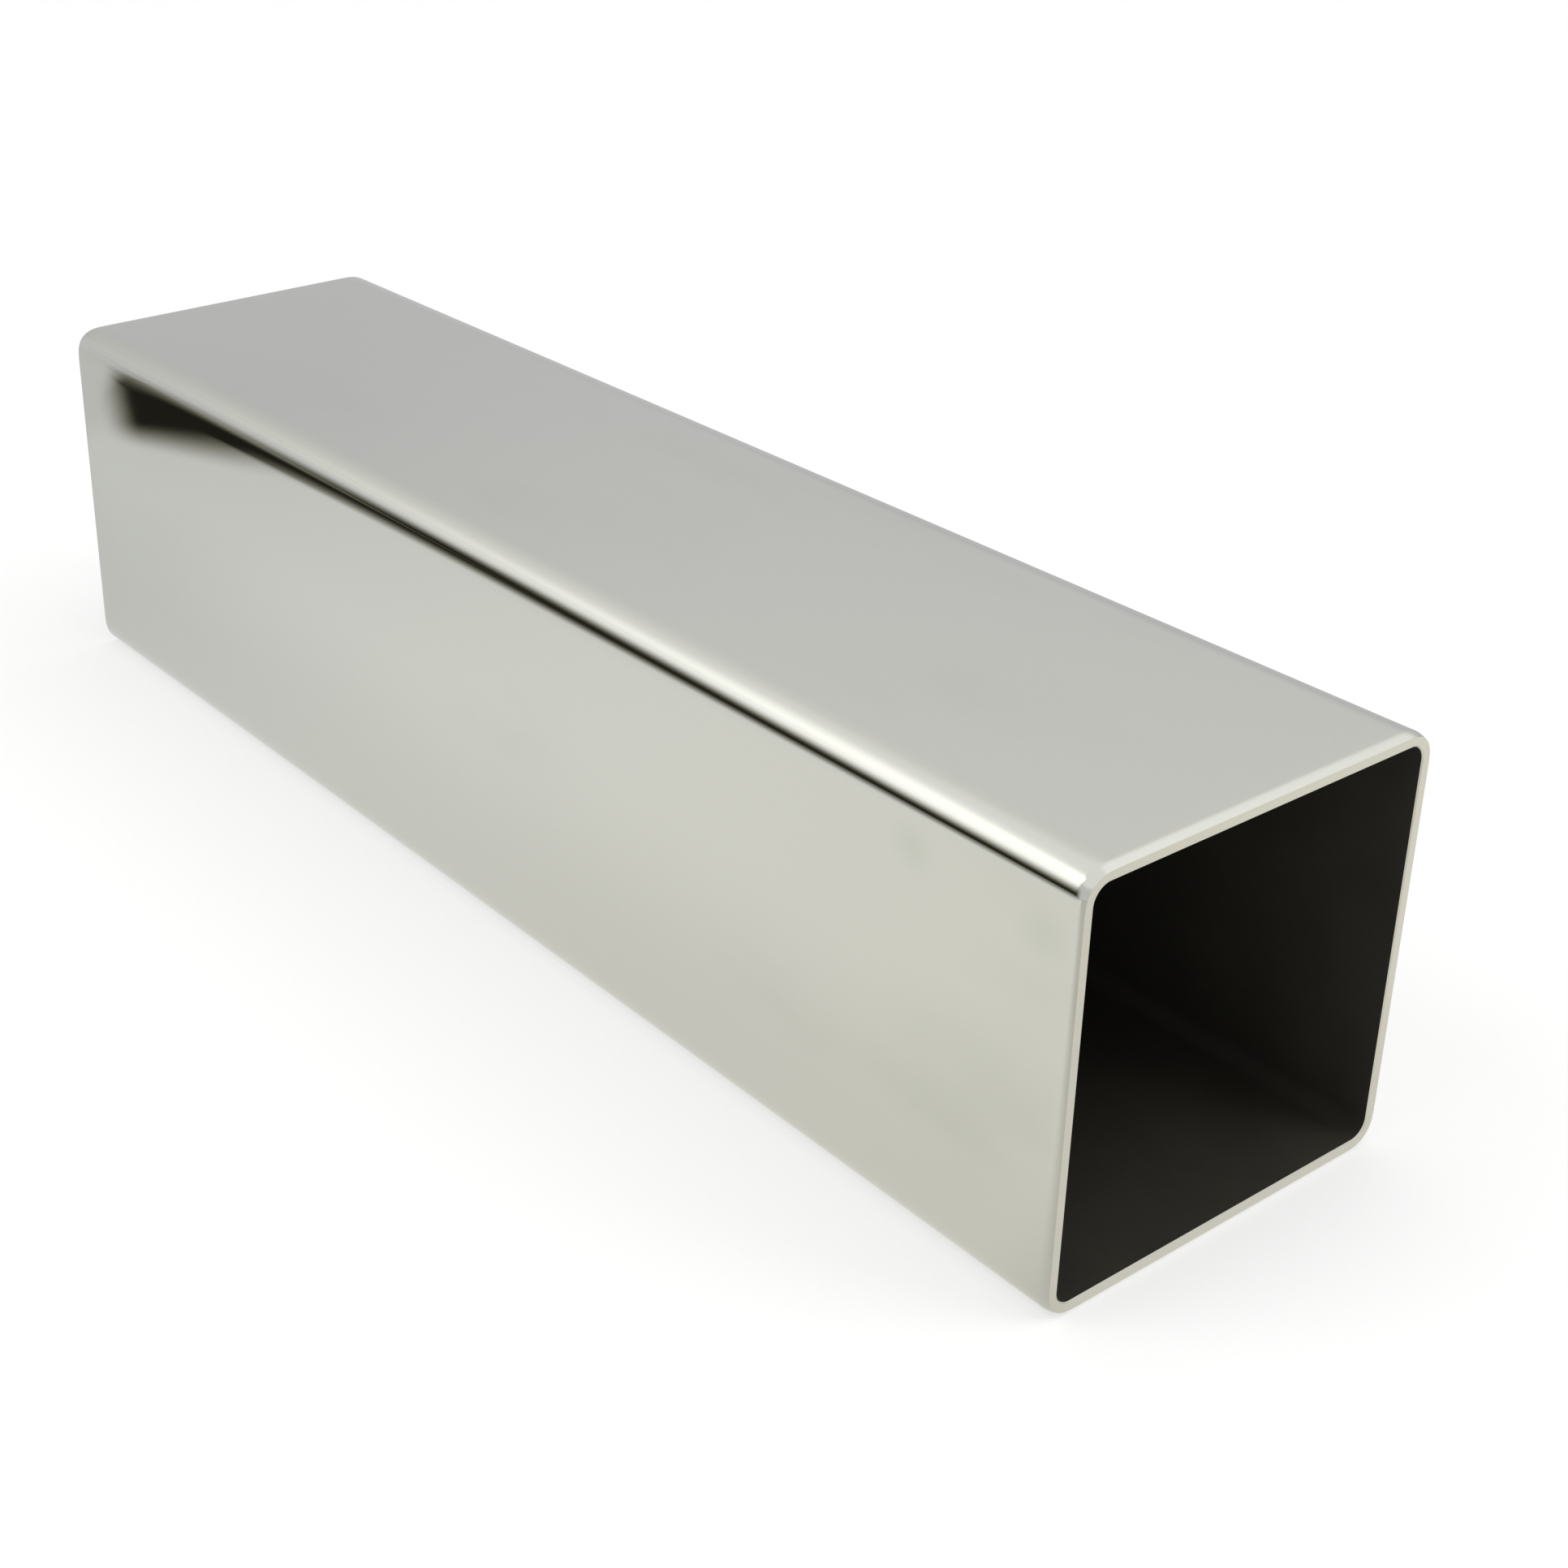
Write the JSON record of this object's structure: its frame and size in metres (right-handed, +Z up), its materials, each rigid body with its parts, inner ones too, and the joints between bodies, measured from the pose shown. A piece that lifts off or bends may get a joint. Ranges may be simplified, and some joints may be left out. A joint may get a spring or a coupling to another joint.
{
  "type": "square metal tube",
  "caption": "Short length of square hollow steel tube, mirror polished, with small rounded corners, open sawn ends and eased end edges.",
  "frame": {"origin": "on the resting surface, under the middle of the tube", "axes": "+Z up, Y along the tube, X across it; the end at -Y is the open mouth nearest the viewer"},
  "size_m": [0.05, 0.2, 0.05],
  "materials": {
    "polished_steel": "polished"
  },
  "bodies": {
    "root": {"square_tube": "polished_steel"}
  },
  "joints": []
}
